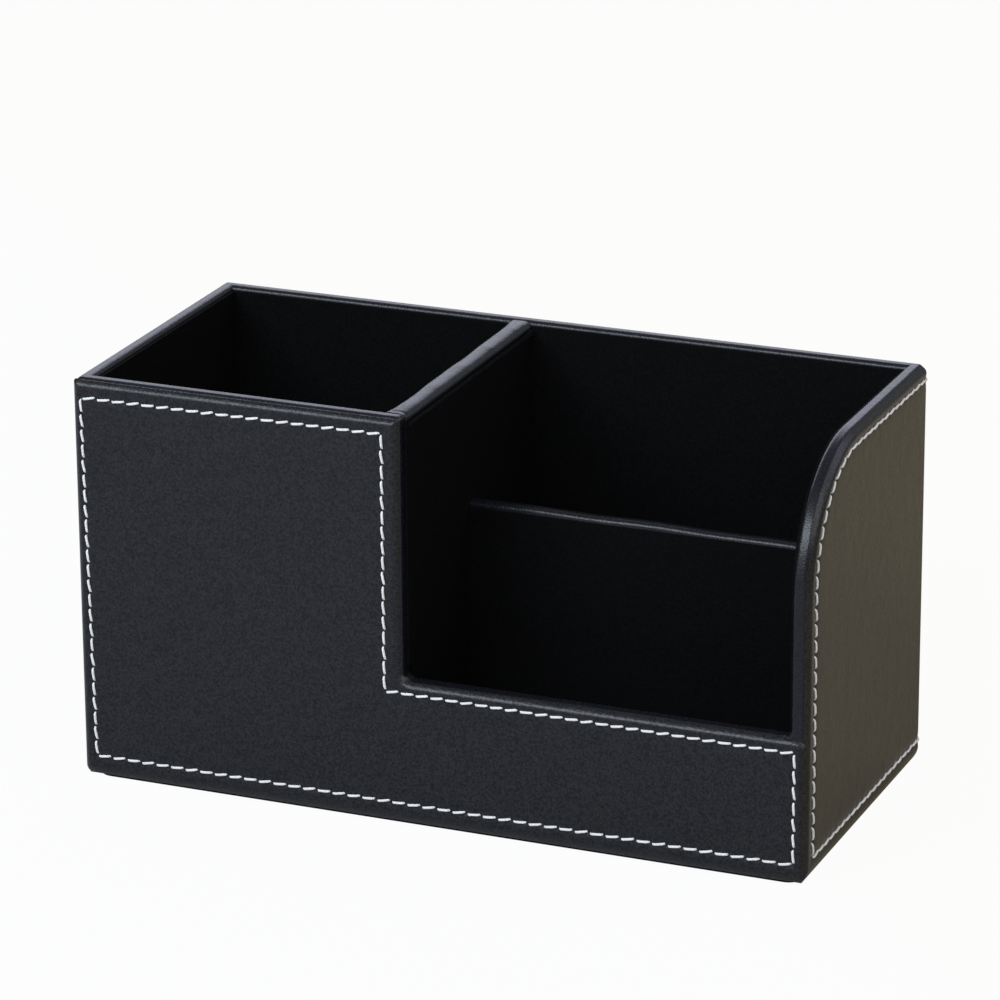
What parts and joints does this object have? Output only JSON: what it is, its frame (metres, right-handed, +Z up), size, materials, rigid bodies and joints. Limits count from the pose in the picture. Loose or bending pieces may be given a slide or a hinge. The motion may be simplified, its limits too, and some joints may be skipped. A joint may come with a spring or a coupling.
{
  "type": "desk organizer box",
  "caption": "Leatherette-covered desk organizer box with a tall pen bay, a stepped low front, a divided side bay, a curved side wall and contrast stitching.",
  "frame": {"origin": "middle of the box seen from above, at the height of the table it stands on", "axes": "+X to the right seen from the stepped front, +Y to the back, +Z up"},
  "size_m": [0.201, 0.093, 0.11],
  "materials": {
    "cover_leatherette": "fine-grained black leatherette with a soft sheen",
    "lining_leatherette": "smooth black leatherette over card",
    "floor_pad": "matt black flock",
    "fibreboard": "bare fibreboard",
    "thread": "white twisted sewing thread",
    "pin_steel": "bright drawn wire",
    "felt": "matt black felt"
  },
  "bodies": {
    "root": {"front_cover": "cover_leatherette", "surround_cover": "cover_leatherette", "front_rim_binding": "cover_leatherette", "surround_rim_binding": "cover_leatherette", "partition_cap": "cover_leatherette", "divider_sleeve": "cover_leatherette", "pen_bay_front_lining": "lining_leatherette", "pen_bay_back_lining": "lining_leatherette", "pen_bay_left_lining": "lining_leatherette", "pen_bay_right_lining": "lining_leatherette", "step_bay_front_lining": "lining_leatherette", "step_bay_back_lining": "lining_leatherette", "step_bay_left_lining": "lining_leatherette", "step_bay_right_lining": "lining_leatherette", "divider_front_lining": "lining_leatherette", "pen_bay_floor_pad": "floor_pad", "front_slot_floor_pad": "floor_pad", "rear_slot_floor_pad": "floor_pad", "base_board": "fibreboard", "front_board": "fibreboard", "back_board": "fibreboard", "left_board": "fibreboard", "right_board": "fibreboard", "partition_board": "fibreboard", "divider_board": "fibreboard", "front_stitching": "thread", "surround_stitching": "thread", "pin_nails": "pin_steel", "base_felt": "felt"}
  },
  "joints": []
}
